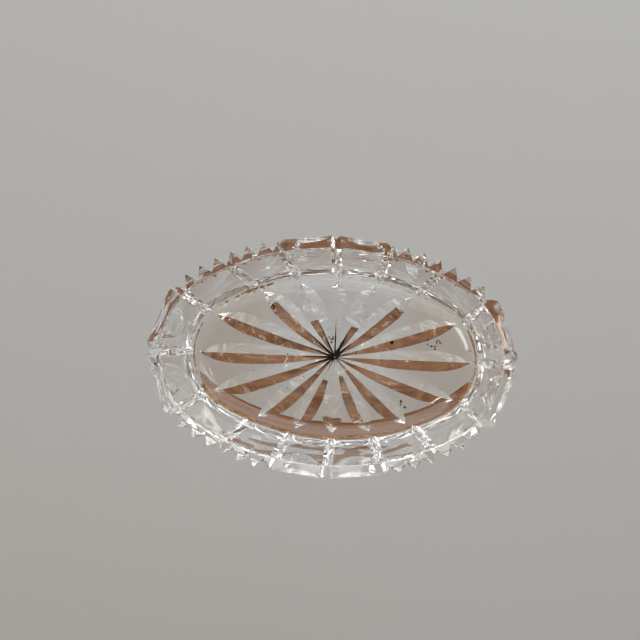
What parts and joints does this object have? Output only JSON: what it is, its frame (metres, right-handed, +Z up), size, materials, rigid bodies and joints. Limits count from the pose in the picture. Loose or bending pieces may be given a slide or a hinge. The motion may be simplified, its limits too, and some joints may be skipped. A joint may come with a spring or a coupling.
{
  "type": "dappen dish",
  "caption": "Small oval cut-crystal dappen dish: a thick clear glass bowl with a sawtooth and scalloped rim, mitre-cut wall and star-cut base.",
  "frame": {"origin": "middle of the flat base, on the surface that the dish stands on", "axes": "+Z up out of the bowl, +X along the long axis, +Y across it"},
  "size_m": [0.1198, 0.0786, 0.032],
  "materials": {
    "crystal": "clear, polished, crisp cut edges"
  },
  "bodies": {
    "root": {"dish": "crystal"}
  },
  "joints": []
}
